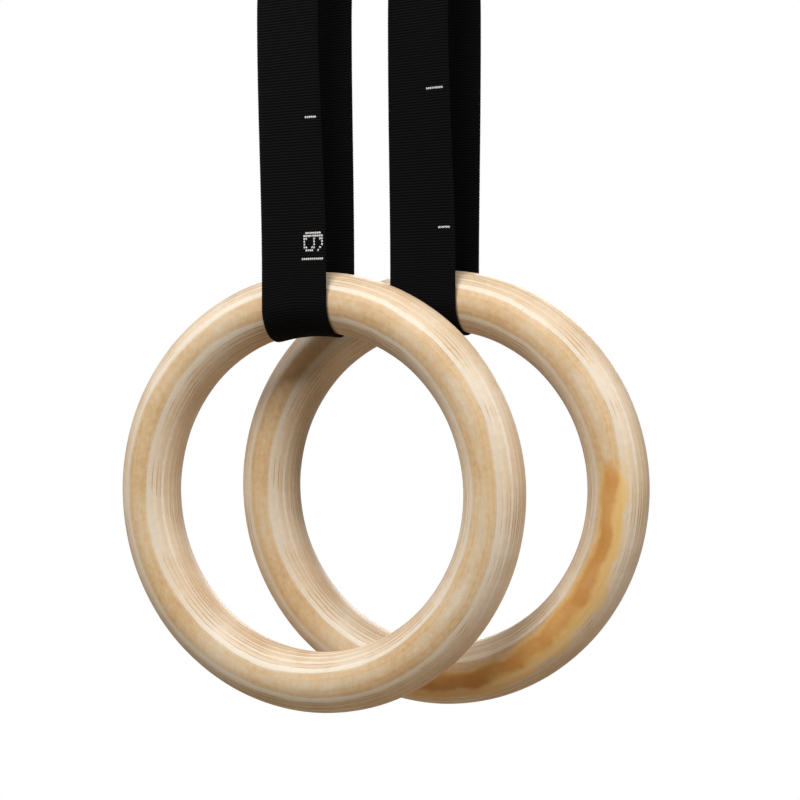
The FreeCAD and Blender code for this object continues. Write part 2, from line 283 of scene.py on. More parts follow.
def birch_plywood(name, hanger, stained):
    """Sanded and lacquered birch ply: a satin surface over bands, grain, pores and glue lines."""
    material, tree, shader = new_material(name, IOR=1.5, Roughness=0.48, Coat_Weight=0.12,
                                          Coat_Roughness=0.35, Specular_IOR_Level=0.35)
    place = add_node(tree, "TexCoord", {}, out="Object")
    centred = add_node(tree, "Mapping", {"Vector": place, "Location": -hanger.ring})
    apart = add_node(tree, "SeparateXYZ", {0: centred}).node.outputs
    flat = add_node(tree, "CombineXYZ", {"X": apart["X"], "Z": apart["Z"]})
    reach = add_node(tree, "VectorMath", {0: flat}, out="Value", operation="LENGTH")
    outward = add_node(tree, "Math", {0: reach, 1: hanger.ring_radius}, operation="SUBTRACT")
    slope = add_node(tree, "Math", {0: outward, 1: hanger.tube_radius}, operation="DIVIDE")
    steep = add_node(tree, "Math", {0: slope}, operation="ABSOLUTE")

    # a board is never quite flat: the plies rise and fall by a few tenths of a millimetre
    wander = add_node(tree, "TexNoise", {"Vector": centred, "Scale": 14.0, "Detail": 2.0})
    lift = add_node(tree, "MapRange", {0: wander, 3: -PLY_WANDER, 4: PLY_WANDER})
    ripple = add_node(tree, "TexNoise", {"Vector": centred, "Scale": 95.0, "Detail": 3.0})
    rippled = add_node(tree, "Math", {0: ripple, 1: PLY_RIPPLE, 2: lift}, operation="MULTIPLY_ADD")
    leaning = add_node(tree, "Math", {0: apart["X"], 1: PLY_LEAN, 2: rippled},
                       operation="MULTIPLY_ADD")
    level = add_node(tree, "Math", {0: apart["Y"], 1: leaning}, operation="ADD")
    # the plies are counted back from the front crown, which is the outer face of the first one
    depth = add_node(tree, "Math", {0: level, 1: hanger.tube_radius}, operation="ADD")
    plies = add_node(tree, "Math", {0: depth, 1: PLY}, operation="DIVIDE")
    index = add_node(tree, "Math", {0: plies}, operation="FLOOR")
    within = add_node(tree, "Math", {0: plies}, operation="FRACT")
    # which way the grain runs: 0 up the board and 1 across it, by turns, with a soft change
    middled = add_node(tree, "Math", {0: plies, 1: 0.5}, operation="SUBTRACT")
    by_turns = add_node(tree, "Math", {0: middled, 1: 1.0}, operation="PINGPONG")
    crosswise = add_node(tree, "MapRange", {0: by_turns, 1: 0.36, 2: 0.64},
                         interpolation_type="SMOOTHSTEP")
    tone = add_node(tree, "TexWhiteNoise", {"W": index}, noise_dimensions="1D")

    # how much of the surface cuts the grain end on, for plies that run up and plies that run across
    unit = add_node(tree, "VectorMath", {0: flat}, operation="NORMALIZE")
    sides = add_node(tree, "SeparateXYZ", {0: unit}).node.outputs
    up_end = add_node(tree, "Math", {0: sides["Z"]}, operation="ABSOLUTE")
    across_end = add_node(tree, "Math", {0: sides["X"]}, operation="ABSOLUTE")
    end_on = add_node(tree, "Mix", {0: crosswise, 2: up_end, 3: across_end}, data_type="FLOAT")
    end_grain = add_node(tree, "Math", {0: end_on, 1: steep}, operation="MULTIPLY")

    # fibres: streaks 0.5 mm wide and about 20 mm long, along each ply's own grain
    fibres = []
    for stretch in ((1500, 1500, 45), (45, 1500, 1500)):
        drawn = add_node(tree, "Mapping", {"Vector": centred, "Scale": stretch}, vector_type="POINT")
        fibres.append(add_node(tree, "TexNoise", {"Vector": drawn, "Scale": 1.0, "Detail": 4.0,
                                                  "Roughness": 0.62, "Distortion": 0.25}))
    fibre = add_node(tree, "Mix", {0: crosswise, 2: fibres[0], 3: fibres[1]}, data_type="FLOAT")

    # growth layers: lines that follow the ring, because the turning cuts each ply at a slant
    layer = add_node(tree, "Math", {0: level, 1: GROWTH_LAYER}, operation="DIVIDE")
    layers = add_node(tree, "TexNoise", {"W": layer, "Scale": 1.0, "Detail": 3.0, "Roughness": 0.7},
                      noise_dimensions="1D")

    # the face plies, front and back, are tanner than the inner ones, which differ only a little
    from_middle_ply = add_node(tree, "Math", {0: level}, operation="ABSOLUTE")
    face_edge = hanger.tube_radius - PLY
    face = add_node(tree, "MapRange", {0: from_middle_ply, 1: face_edge - FACE_FADE_IN,
                                       2: face_edge + FACE_FADE_OUT}, interpolation_type="SMOOTHSTEP")
    by_grain = add_node(tree, "Math", {0: crosswise, 1: -0.05, 2: 0.04}, operation="MULTIPLY_ADD")
    value = add_node(tree, "Math", {0: face, 1: 0.23, 2: by_grain}, operation="MULTIPLY_ADD")
    lines = add_node(tree, "MapRange", {0: steep, 3: 0.10, 4: 0.50})
    drawn_lines = add_node(tree, "Math", {0: layers, 1: lines}, operation="MULTIPLY")
    drift = add_node(tree, "TexNoise", {"Vector": centred, "Scale": 24.0, "Detail": 4.0})
    mottle = add_node(tree, "TexNoise", {"Vector": centred, "Scale": 330.0, "Detail": 3.0})
    for part, share in ((tone, 0.08), (drift, 0.42), (drawn_lines, 0.9), (fibre, 0.22), (mottle, 0.22)):
        value = add_node(tree, "Math", {0: part, 1: share, 2: value}, operation="MULTIPLY_ADD")
    long_grain = add_node(tree, "ValToRGB", {0: value}, stops=WOOD_TONES)
    darker = add_node(tree, "MapRange", {0: end_grain, 3: 0.0, 4: 0.5})
    body = add_node(tree, "Mix", {0: darker, 6: long_grain, 7: hex_colour("#c09a76")}, out=2,
                    data_type="RGBA")

    # pores: short dark dashes along the grain, and a few long cracks filled with lacquer dust
    pore_map = add_node(tree, "MapRange", {0: fibre, 1: 0.37, 2: 0.31, 3: 0.0, 4: 0.45})
    pored = add_node(tree, "Mix", {0: pore_map, 6: body, 7: hex_colour("#a9794c")}, out=2,
                     data_type="RGBA")

    # glue lines: drawn 0.3 mm wide, so that they show, dark in some stretches and faint in others
    middle = add_node(tree, "Math", {0: within, 1: 0.5}, operation="SUBTRACT")
    from_middle = add_node(tree, "Math", {0: middle}, operation="ABSOLUTE")
    hairline = add_node(tree, "MapRange", {0: from_middle, 1: 0.38, 2: 0.49, 3: 0.0, 4: 1.0})
    fading = add_node(tree, "TexNoise", {"Vector": centred, "Scale": 48.0, "Detail": 2.0})
    shown = add_node(tree, "MapRange", {0: fading, 1: 0.44, 2: 0.66, 3: 0.08, 4: 0.95})
    cut_steeply = add_node(tree, "MapRange", {0: steep, 1: 0.25, 2: 0.65, 3: 0.1, 4: 1.0})
    inked = add_node(tree, "Math", {0: shown, 1: cut_steeply}, operation="MULTIPLY")
    glue = add_node(tree, "Math", {0: hairline, 1: inked}, operation="MULTIPLY")
    lined = add_node(tree, "Mix", {0: glue, 6: pored, 7: hex_colour("#74523a")}, out=2,
                     data_type="RGBA")

    colour = heartwood(tree, centred, sides, outward, depth, lined) if stained else lined
    tree.links.new(colour, shader.inputs["Base Color"])
    grooves = add_node(tree, "Math", {0: fibre, 1: glue}, operation="SUBTRACT")
    relief = add_node(tree, "Bump", {"Height": grooves, "Distance": 0.06 * MM, "Strength": 0.6})
    tree.links.new(relief, shader.inputs["Normal"])
    return material


print("plywood: plies of", PLY / MM, "mm")

# %% [markdown]
# One ring's face ply has a streak of brown heartwood. It is a stain in that ply alone, so it
# stops where the turning has cut through to the next one. It follows the ring from just above
# the middle of the right side down past the bottom, dark in its core and honey at its edges.

# %% Heartwood streak
STREAK_START = math.radians(11)
STREAK_END = math.radians(-112)
STREAK_FADE = math.radians(9)
STREAK_DEPTH = 7.5 * MM
STREAK_FAINT, STREAK_FULL = 9.5 * MM, 6.0 * MM
CORE_FAINT, CORE_FULL, CORE_OFFSET = 6.0 * MM, 2.4 * MM, 2.2 * MM
SWING_WIDTH, SWINGS, SWING_PEAK = 2.4 * MM, 2.2, math.radians(-25)


def heartwood(tree, centred, sides, outward, depth, wood):
    """Lay the streak over the wood: its place along the ring, across it and into it."""
    angle = add_node(tree, "Math", {0: sides["Z"], 1: sides["X"]}, operation="ARCTAN2")
    ragged = add_node(tree, "TexNoise", {"Vector": centred, "Scale": 60.0, "Detail": 5.0})
    ragged_angle = add_node(tree, "Math", {0: ragged, 1: 0.3, 2: angle}, operation="MULTIPLY_ADD")
    late = add_node(tree, "Math", {0: ragged_angle, 1: 0.15}, operation="SUBTRACT")
    head = add_node(tree, "MapRange", {0: late, 1: STREAK_START, 2: STREAK_START - STREAK_FADE},
                    interpolation_type="SMOOTHSTEP")
    foot = add_node(tree, "MapRange", {0: late, 1: STREAK_END, 2: STREAK_END + STREAK_FADE},
                    interpolation_type="SMOOTHSTEP")
    along = add_node(tree, "Math", {0: head, 1: foot}, operation="MULTIPLY")
    # it swings in towards the hand hole a third of the way down, and out again
    turned = add_node(tree, "Math", {0: angle, 1: SWINGS, 2: -SWINGS * SWING_PEAK},
                      operation="MULTIPLY_ADD")
    swing = add_node(tree, "Math", {0: turned}, operation="COSINE")
    offset = add_node(tree, "MapRange", {0: ragged, 3: -10.0 * MM, 4: 2.0 * MM})
    centre = add_node(tree, "Math", {0: swing, 1: SWING_WIDTH, 2: offset}, operation="MULTIPLY_ADD")
    across = add_node(tree, "Math", {0: outward, 1: centre}, operation="ADD")
    wide = add_node(tree, "Math", {0: across}, operation="ABSOLUTE")
    edge = add_node(tree, "MapRange", {0: wide, 1: STREAK_FAINT, 2: STREAK_FULL},
                    interpolation_type="SMOOTHSTEP")
    from_core = add_node(tree, "Math", {0: across, 1: CORE_OFFSET}, operation="ADD")
    near_core = add_node(tree, "Math", {0: from_core}, operation="ABSOLUTE")
    core = add_node(tree, "MapRange", {0: near_core, 1: CORE_FAINT, 2: CORE_FULL},
                    interpolation_type="SMOOTHSTEP")
    shallow = add_node(tree, "MapRange", {0: depth, 1: STREAK_DEPTH, 2: STREAK_DEPTH * 0.6})
    here = add_node(tree, "Math", {0: along, 1: shallow}, operation="MULTIPLY")
    honey = add_node(tree, "Math", {0: here, 1: edge}, operation="MULTIPLY")
    pale = add_node(tree, "Math", {0: honey, 1: 0.75}, operation="MULTIPLY")
    warm = add_node(tree, "Mix", {0: pale, 6: wood, 7: hex_colour("#e8bd70")}, out=2,
                    data_type="RGBA")
    patchy = add_node(tree, "MapRange", {0: ragged, 1: 0.35, 2: 0.65, 3: 0.95, 4: 0.55})
    held = add_node(tree, "Math", {0: here, 1: patchy}, operation="MULTIPLY")
    brown = add_node(tree, "Math", {0: held, 1: core}, operation="MULTIPLY")
    return add_node(tree, "Mix", {0: brown, 6: warm, 7: hex_colour("#c98a44")}, out=2,
                    data_type="RGBA")


plywood = {side: birch_plywood(f"birch_plywood_{side}", hangers[side], side == "right")
           for side in SIDES}
print("plywood materials:", [m.name for m in plywood.values()])

# %% [markdown]
# ## The rings
#
# A torus is the right start for a turned ring. It could be left as that, but a hand-sanded
# ring isn't perfect: the flats of the sander leave slow waves of about a tenth of a
# millimetre, and they are what breaks up the long highlights. They are moved into the mesh.

# %% Turn the rings
SANDING_WAVE = 0.12 * MM


def turn_ring(hanger):
    nothing_selected()
    bpy.ops.mesh.primitive_torus_add(location=hanger.ring, rotation=(math.pi / 2, 0, 0),
                                     major_radius=hanger.ring_radius, minor_radius=hanger.tube_radius,
                                     major_segments=288, minor_segments=72)
    ring = settle(bpy.context.object, f"{hanger.side}_turned_ring", plywood[hanger.side], 180)
    for vertex in ring.data.vertices:
        arm = vertex.co - hanger.ring
        angle = math.atan2(arm.z, arm.x)
        spoke = Vector((math.cos(angle), 0, math.sin(angle))) * hanger.ring_radius
        out = (arm - spoke).normalized()
        round_tube = math.atan2(out.y, out.dot(spoke))
        wave = math.sin(7 * angle + 2 * round_tube) + math.sin(16 * angle - 3 * round_tube + 1.0)
        vertex.co -= out * SANDING_WAVE * (0.5 + 0.25 * wave)
    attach(ring, hanger.body("grip"))
    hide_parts(f"{hanger.side}_ring")
    return ring


for hanger in hangers.values():
    print(hanger.side, "ring:", triangles(turn_ring(hanger)), "triangles")

# %% [markdown]
# ## Webbing
#
# Strap webbing is woven flat from thick nylon yarn. Its filling yarns lie straight across and
# the warp bends over them, so it has a rib across it every 1.5 mm, the same on both faces.
# A bump map gives ribs that vanish at the edge of the strap, where they matter most. Here a
# grid is wrapped into a flat closed tape with five rows of points to a rib, so that the ribs
# and the scalloped edges are real.

# %% Nylon webbing material
RIB = 1.51 * MM
WARP_YARN = 1.15 * MM


def black_nylon(name, code, groove_shade_code):
    """Dyed nylon yarn: nearly black, with almost no gloss and a faint sheen, a painted highlight on the
    rib tops and painted shade in the grooves.
    """
    material, tree, shader = new_material(name, Roughness=0.9, Specular_IOR_Level=0.07,
                                          Sheen_Weight=0.01, Sheen_Roughness=0.5)
    along = add_node(tree, "UVMap", {}, uv_map="UVMap")
    apart = add_node(tree, "SeparateXYZ", {0: along}).node.outputs
    ribs = add_node(tree, "Math", {0: apart["Y"], 1: RIB}, operation="DIVIDE")
    from_groove = add_node(tree, "Math", {0: ribs, 1: 0.5}, operation="PINGPONG")
    # painted light and shade: this mask sets only the colour, lighter on the rib tops and near black in
    # the grooves between ribs
    crown = add_node(tree, "MapRange", {0: from_groove, 1: 0.14, 2: 0.42},
                     interpolation_type="SMOOTHSTEP")
    # each yarn passes over one rib and under the next, so the floats step sideways rib by rib
    step = add_node(tree, "Math", {0: ribs}, operation="FLOOR")
    yarns = add_node(tree, "Math", {0: apart["X"], 1: WARP_YARN}, operation="DIVIDE")
    stepped = add_node(tree, "Math", {0: step, 1: 0.5, 2: yarns}, operation="MULTIPLY_ADD")
    yarn = add_node(tree, "Math", {0: stepped, 1: 0.5}, operation="PINGPONG")
    hump = add_node(tree, "MapRange", {0: yarn, 1: 0.0, 2: 0.5}, interpolation_type="SMOOTHSTEP")
    fuzz = add_node(tree, "TexNoise", {"Vector": along, "Scale": 1600.0, "Detail": 2.0})
    # painted shade between the yarns: the humps are painted lighter than the dips, and the fuzz adds a
    # random tone
    woven = add_node(tree, "Math", {0: hump, 1: 0.45, 2: 0.55}, operation="MULTIPLY_ADD")
    mixed = add_node(tree, "MapRange", {0: fuzz, 1: 0.35, 2: 0.6, 3: 0.55, 4: 1.0})
    raised = add_node(tree, "Math", {0: woven, 1: mixed}, operation="MULTIPLY")
    lit = add_node(tree, "Math", {0: raised, 1: crown}, operation="MULTIPLY")
    colour = add_node(tree, "Mix", {0: lit, 6: hex_colour(groove_shade_code), 7: hex_colour(code)}, out=2,
                      data_type="RGBA")
    tree.links.new(colour, shader.inputs["Base Color"])
    spun = add_node(tree, "Math", {0: fuzz, 1: 0.4, 2: hump}, operation="MULTIPLY_ADD")
    relief = add_node(tree, "Bump", {"Height": spun, "Distance": 0.10 * MM, "Strength": 0.8})
    tree.links.new(relief, shader.inputs["Normal"])
    return material


# the second colour is the near-black painted shade in the rib grooves
webbing_black = black_nylon("black_nylon_webbing", "#161618", "#010101")
print("webbing: a rib every", RIB / MM, "mm")

# %% [markdown]
# The line that a strap takes, seen from the side, is only straight lengths and round turns,
# like instructions for bending wire. So it is kept as such: where it starts, which way it
# heads, and then one move after another. The tape is laid along it.

# %% The line of a strap
UP, DOWN = math.pi / 2, -math.pi / 2


class Route:
    """Straight lengths and turns in the YZ plane, and the point and heading at any distance."""

    def __init__(self, y, z, heading):
        self.y, self.z, self.heading = y, z, heading
        self.length, self.moves = 0.0, []

    def forward(self, length, turn=0.0):
        """Go on by a length while turning by an angle, to the left if it is positive."""
        move = (self.length, length, turn, self.y, self.z, self.heading)
        self.moves.append(move)
        self.y, self.z, self.heading = self.along(move, length)
        self.length += length
        return self

    def turn(self, radius, degrees):
        angle = math.radians(degrees)
        return self.forward(radius * abs(angle), angle)

    @staticmethod
    def along(move, distance):
        start, length, turn, y, z, heading = move
        if turn == 0:
            return y + distance * math.cos(heading), z + distance * math.sin(heading), heading
        radius = length / turn
        now = heading + turn * distance / length
        return (y + radius * (math.sin(now) - math.sin(heading)),
                z - radius * (math.cos(now) - math.cos(heading)), now)

    def at(self, distance):
        move = next((m for m in reversed(self.moves) if distance >= m[0]), self.moves[0])
        return self.along(move, distance - move[0])


print("route helper ready; a quarter turn of 10 mm is", round(10 * math.pi / 2, 1), "mm long")

# %% [markdown]
# A hanging loop never hangs quite square. Between the ring and the buckle each strap turns a
# little about its own upright line and comes back, more on the right one than on the left.
# Where it goes under the ring, the pull cups it across its width to the round of the hand hole.

# %% How a loop turns as it hangs
TWIST = {"left": math.radians(-5.5), "right": math.radians(-9.0)}
LEAN = {"left": -2.3 * MM, "right": -0.2 * MM}
TWIST_PEAK, TWIST_ABOVE, TWIST_BELOW = -226 * MM, 62 * MM, 140 * MM
CUP_ABOVE = 26 * MM


def eased(share):
    """A share from 0 to 1, eased at both ends."""
    return share * share * (3 - 2 * share)


def cup(hanger, points):
    """How far a strap's points rise where it rests against the round of the hand hole."""
    hole = hanger.ring_radius - hanger.tube_radius
    widest = hanger.width / 2 + abs(hanger.ring.x - hanger.x)
    from_ring = np.clip(points[:, 0] - hanger.ring.x, -widest, widest)
    share = np.clip((hanger.sling_z + CUP_ABOVE - points[:, 2]) / CUP_ABOVE, 0, 1)
    rise = np.sqrt(hole ** 2 - from_ring ** 2) - math.sqrt(hole ** 2 - widest ** 2)
    return rise * eased(share)


def hang(hanger, points):
    """Turn points of a strap about its upright line, lean it, and cup it under the ring."""
    from_peak = points[:, 2] - TWIST_PEAK
    reach = np.where(from_peak > 0, TWIST_ABOVE, TWIST_BELOW)
    share = eased(np.clip(1 - np.abs(from_peak) / reach, 0, 1))
    angle = TWIST[hanger.side] * share
    x, y = points[:, 0] - hanger.x, points[:, 1] - hanger.y
    turned = points.copy()
    turned[:, 0] = hanger.x + x * np.cos(angle) - y * np.sin(angle) + LEAN[hanger.side] * share
    turned[:, 1] = hanger.y + x * np.sin(angle) + y * np.cos(angle)
    turned[:, 2] += cup(hanger, points)
    return turned


for side, angle in TWIST.items():
    print(side, "loop turns by", round(math.degrees(angle), 1), "degrees at most")

# %% Weave a tape along a route
ROWS_PER_RIB = 5
COLUMNS = 12
RIB_DEPTH = 0.24 * MM
SCALLOP = 0.22 * MM


def weave_tape(hanger, name, route):
    """A flat closed tape of webbing: out across one face and back across the other."""
    ribs = round(route.length / RIB)
    rows, around = ribs * ROWS_PER_RIB, 2 * COLUMNS
    nothing_selected()
    bpy.ops.mesh.primitive_grid_add(x_subdivisions=around, y_subdivisions=rows, size=1,
                                    location=(0, 0, 0), calc_uvs=True)
    tape = bpy.context.object
    grid = np.empty(len(tape.data.vertices) * 3)
    tape.data.vertices.foreach_get("co", grid)
    grid = grid.reshape(-1, 3)
    column = np.rint((grid[:, 0] + 0.5) * around)
    row = np.rint((grid[:, 1] + 0.5) * rows).astype(int)
    face = np.where(column <= COLUMNS, 1.0, -1.0)
    across = np.sin((np.where(face > 0, column, around - column) / COLUMNS - 0.5) * math.pi)
    line = np.array([route.at(route.length * r / rows) for r in range(rows + 1)])
    y, z, heading = line[row].T
    crown = np.abs(np.sin(math.pi * row / ROWS_PER_RIB)) ** 0.6
    plump = np.sqrt(1 - np.clip(np.abs(across), 0, 1) ** 16)
    half = plump * (WEB_THICK / 2 - RIB_DEPTH * (1 - crown))
    edge = np.abs(across) ** 8 * SCALLOP * (1 - crown)
    points = np.column_stack([
        hanger.x + across * (hanger.width / 2 - edge),
        hanger.y + y + face * half * np.sin(heading),
        z - face * half * np.cos(heading)])
    tape.data.vertices.foreach_set("co", hang(hanger, points).ravel())
    scale_weave_map(tape, hanger.width * 2, ribs * RIB)
    only(tape)
    bpy.ops.object.mode_set(mode="EDIT")
    bpy.ops.mesh.select_all(action="SELECT")
    bpy.ops.mesh.remove_doubles(threshold=0.01 * MM)
    bpy.ops.mesh.select_all(action="DESELECT")
    bpy.ops.mesh.select_non_manifold()
    bpy.ops.mesh.fill_holes(sides=0)
    bpy.ops.mesh.select_all(action="SELECT")
    bpy.ops.mesh.normals_make_consistent(inside=False)
    return settle(tape, name, webbing_black, 70)


def scale_weave_map(tape, width, length):
    """The tape's map in metres: across it and along it, so the yarns come out at their size."""
    layer = tape.data.uv_layers["UVMap"].data
    flat = np.empty(len(layer) * 2)
    layer.foreach_get("uv", flat)
    flat = flat.reshape(-1, 2) * (width, length)
    layer.foreach_set("uv", flat.ravel())


print("tape:", ROWS_PER_RIB, "rows to a rib,", 2 * COLUMNS, "points round it")

# %% [markdown]
# ### The lower strap
#
# The turn that the ring rests in is one piece with the runs above it. Its rounded part turns with the
# ring and the rest doesn't.

# %% Lay the lower straps
BEND_ABOVE, BEND_BELOW = 17 * MM, 6 * MM
BLEND_TOP = -88 * MM
lower_routes = {}


def on_line(hanger, z):
    """A point on the strap's upright line."""
    return (hanger.x, hanger.y, z)


def lay_lower_strap(hanger):
    drop = hanger.strap_top - hanger.sling_z
    route = Route(-hanger.run_y, hanger.strap_top, DOWN)
    route.forward(drop).turn(hanger.run_y, 180).forward(drop)
    lower_routes[hanger.side] = route
    strap = weave_tape(hanger, f"{hanger.side}_lower_webbing", route)
    hanger.body("carrier")
    hanger.body("sling")
    on_line(hanger, hanger.sling_z + BEND_ABOVE)
    on_line(hanger, hanger.sling_z - BEND_BELOW)
    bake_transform(strap)
    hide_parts(*(f"{hanger.side}_{node}" for node in
                         ("ring_sling", "strap_bends", "front_strap", "rear_strap")))
    return strap


for hanger in hangers.values():
    strap = lay_lower_strap(hanger)
    print(strap.name, round(lower_routes[hanger.side].length / MM), "mm,", triangles(strap), "triangles")

# %% [markdown]
# ### Over the bar, and back to the buckle
#
# The strap goes on up behind, over the bar and down in front, round the buckle's anchor pin,
# and is folded up against itself and sewn. Its lowest part shortens when the ring is raised.

# %% Lay the top loops
FOLD_END = -19 * MM
FOLD_LEAN = 27
FOLD_LEAN_RADIUS = 3 * MM
top_routes = {}


def lay_top_loop(hanger):
    loop_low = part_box(f"{hanger.side}_bar_loop")[0]
    pin_low, pin_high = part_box(f"{hanger.side}_anchor_pin")
    pin_z = (pin_low.z + pin_high.z) / 2
    wrap = (hanger.y - hanger.run_y - WEB_THICK / 2 - loop_low.y) / 2
    step_in = 2 * wrap - WEB_THICK
    # the fold leaves the pin upright, leans in until it meets the front leg, and lies on it
    lean = math.radians(FOLD_LEAN)
    leaning = (step_in - 2 * FOLD_LEAN_RADIUS * (1 - math.cos(lean))) / math.sin(lean)
    route = Route(hanger.run_y, hanger.strap_top, UP)
    route.forward(-hanger.strap_top).turn(hanger.run_y, 180).forward(-pin_z).turn(wrap, -180)
    route.forward(wrap - WEB_THICK / 2).turn(FOLD_LEAN_RADIUS, -FOLD_LEAN)
    route.forward(leaning).turn(FOLD_LEAN_RADIUS, FOLD_LEAN)
    route.forward(FOLD_END - route.z)
    top_routes[hanger.side] = route
    loop = weave_tape(hanger, f"{hanger.side}_top_webbing", route)
    hanger.body("hanger")
    hanger.body("carrier")
    on_line(hanger, BLEND_TOP)
    on_line(hanger, hanger.strap_top)
    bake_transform(loop)
    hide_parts(f"{hanger.side}_bar_loop", f"{hanger.side}_rear_run")
    return loop


for hanger in hangers.values():
    loop = lay_top_loop(hanger)
    print(loop.name, round(top_routes[hanger.side].length / MM), "mm,", triangles(loop), "triangles")

# %% [markdown]
# ### Through the buckle, and the tail
#
# The front run goes up behind the buckle's plate, over its top edge, and down between the
# plate and the cam. Below the mouth it is the tail, folded double at its end and sewn.

# %% Lay the front runs and the tails
TAIL_SEAM = -86 * MM
HEM_SHORT_BY = 1 * MM


def lay_front_run(hanger):
    low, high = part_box(f"{hanger.side}_plate_turn")
    over = (high.y - low.y - WEB_THICK) / 2
    route = Route(-hanger.run_y, hanger.strap_top, UP)
    route.forward(hanger.front_top - hanger.strap_top).turn(over, 180)
    route.forward(hanger.front_top - TAIL_SEAM)
    run = weave_tape(hanger, f"{hanger.side}_front_webbing", route)
    hanger.body("hanger")
    hanger.body("carrier")
    on_line(hanger, BLEND_TOP)
    on_line(hanger, hanger.strap_top)
    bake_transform(run)
    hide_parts(f"{hanger.side}_front_run", f"{hanger.side}_plate_turn")
    return route, run


def lay_tail(hanger):
    low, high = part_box(f"{hanger.side}_tail_hem")
    tail_y = high.y - hanger.y - WEB_THICK / 2
    route = Route(tail_y, TAIL_SEAM, DOWN)
    route.forward(TAIL_SEAM - low.z - WEB_THICK).turn(WEB_THICK / 2, -180)
    route.forward(high.z - low.z - WEB_THICK - HEM_SHORT_BY)
    tail = weave_tape(hanger, f"{hanger.side}_tail_webbing", route)
    hanger.body("hanger")
    hanger.body("tail")
    on_line(hanger, BLEND_TOP)
    on_line(hanger, high.z)
    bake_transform(tail)
    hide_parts(f"{hanger.side}_tail_web", f"{hanger.side}_tail_hem")
    return route, tail


for hanger in hangers.values():
    for lay in (lay_front_run, lay_tail):
        route, tape = lay(hanger)
        print(tape.name, round(route.length / MM), "mm,", triangles(tape), "triangles")

# %% [markdown]
# ## Woven measuring marks
#
# White yarn floats over a few warp threads at a time, and the floats make numbers and ticks,
# so that the two straps can be set to one length. A printed decal would be flat. Each float
# is a small swelling of yarn, modelled once and copied to its place in the weave.

# %% White yarn
def white_yarn():
    """Undyed polyester: bright, matt, and a little grey between its filaments."""
    material, tree, shader = new_material("white_polyester_yarn", Roughness=0.8,
                                          Specular_IOR_Level=0.3, Sheen_Weight=0.2)
    place = add_node(tree, "TexCoord", {}, out="Object")
    drawn = add_node(tree, "Mapping", {"Vector": place, "Scale": (600, 600, 5200)})
    strands = add_node(tree, "TexNoise", {"Vector": drawn, "Scale": 1.0, "Detail": 1.0})
    colour = add_node(tree, "ValToRGB", {0: strands}, stops=[(0.35, "#a9aaac"), (0.6, "#e4e4e2")])
    tree.links.new(colour, shader.inputs["Base Color"])
    return material


yarn_white = white_yarn()
FLOAT_PITCH = 1.14 * MM
FLOAT_SIZE = (0.55 * MM, 0.30 * MM, 0.66 * MM)
# rows go up the strap, and a number lies on its side with its top to the left
ONE = ["###########"]
GAP = ["", ""]
EIGHT = ["..###..###.", ".#...##...#", ".#....#...#", ".#....#...#", ".#...##...#", "..###..###."]
NINE = ["..####..#..", ".##..##..#.", ".#....#...#", ".#....#...#", ".##...#..##", ".##########",
        "..########."]
SHORT_TICK = ["....######."]
LONG_TICK = ["#########.."]
# what stands at each quarter of the way down from a number to the next
QUARTERS = [ONE + GAP + NINE, SHORT_TICK, LONG_TICK, SHORT_TICK, ONE + GAP + EIGHT, SHORT_TICK,
            LONG_TICK]
QUARTER = 74.4 * MM
print("a nine takes", sum(row.count("#") for row in NINE), "floats")

# %% Weave the marks in
MARK_INSET = 1.4 * MM
FLOAT_SINK = 0.05 * MM
# floats are turned by a share of their strap's twist, and the top loops are marked this far up
TWIST_SHARE = 0.3
MARKED_ABOVE = 190 * MM


def float_places(hanger, route, distance, rows):
    """Where the floats of a mark lie on a strap's outer face, and how far each is tipped."""
    outer = WEB_THICK / 2 - FLOAT_SINK
    for number, row in enumerate(rows):
        y, z, heading = route.at(distance - number * RIB)
        for place, stitch in enumerate(row):
            if stitch == "#":
                from_edge = MARK_INSET + (len(row) - place - 0.5) * FLOAT_PITCH
                point = (hanger.x + hanger.width / 2 - from_edge,
                         hanger.y + y + outer * math.sin(heading), z - outer * math.cos(heading))
                yield point, heading - math.pi / 2


def weave_marks(hanger, name, route, marks):
    """All the marks of one tape, as one piece: pairs of rows and their distance along it."""
    places = [place for rows, distance in marks for place in float_places(hanger, route, distance, rows)]
    points = hang(hanger, np.array([point for point, tip in places]))
    nothing_selected()
    bpy.ops.mesh.primitive_uv_sphere_add(segments=8, ring_count=5, radius=1, location=(0, 0, 0),
                                         scale=FLOAT_SIZE)
    pattern = bpy.context.object
    floats = []
    for point, (_, tip) in zip(points, places):
        floats.append(copied(pattern, point, (tip, 0, TWIST[hanger.side] * TWIST_SHARE)))
    bpy.data.objects.remove(pattern)
    return settle(joined(floats), name, yarn_white, 60)


def marks_between(first, start, end):
    """The marks of the quarters from one distance to another, and where each lies after the start."""
    for number in range(-2, len(QUARTERS)):
        distance = first + number * QUARTER
        if start < distance < end:
            yield QUARTERS[number % 4 if number < 0 else number], distance - start


# how far the nine is below the strap's seam, and how much of each tape is marked
FIRST_MARK = {"left": 156.8 * MM, "right": 213.0 * MM}
for side, hanger in hangers.items():
    low_route, top_route = lower_routes[side], top_routes[side]
    low = weave_marks(hanger, f"{side}_lower_marks", low_route,
                      marks_between(FIRST_MARK[side], 0, low_route.length))
    hanger.body("carrier")
    hanger.body("sling")
    on_line(hanger, hanger.sling_z + BEND_ABOVE)
    on_line(hanger, hanger.sling_z - BEND_BELOW)
    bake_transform(low)
    high = weave_marks(hanger, f"{side}_top_marks", top_route,
                       marks_between(FIRST_MARK[side], low_route.length,
                                     low_route.length + MARKED_ABOVE))
    hanger.body("hanger")
    hanger.body("carrier")
    on_line(hanger, BLEND_TOP)
    on_line(hanger, hanger.strap_top)
    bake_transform(high)
    for piece in (low, high):
        print(piece.name, triangles(piece), "triangles")

# %% [markdown]
# ## Sewing
#
# The fold round the anchor pin is held by rows of lock stitch, and the tail's hem by two more.
# Thread is pulled down into webbing, so each stitch is a short bead with its ends sunk in.

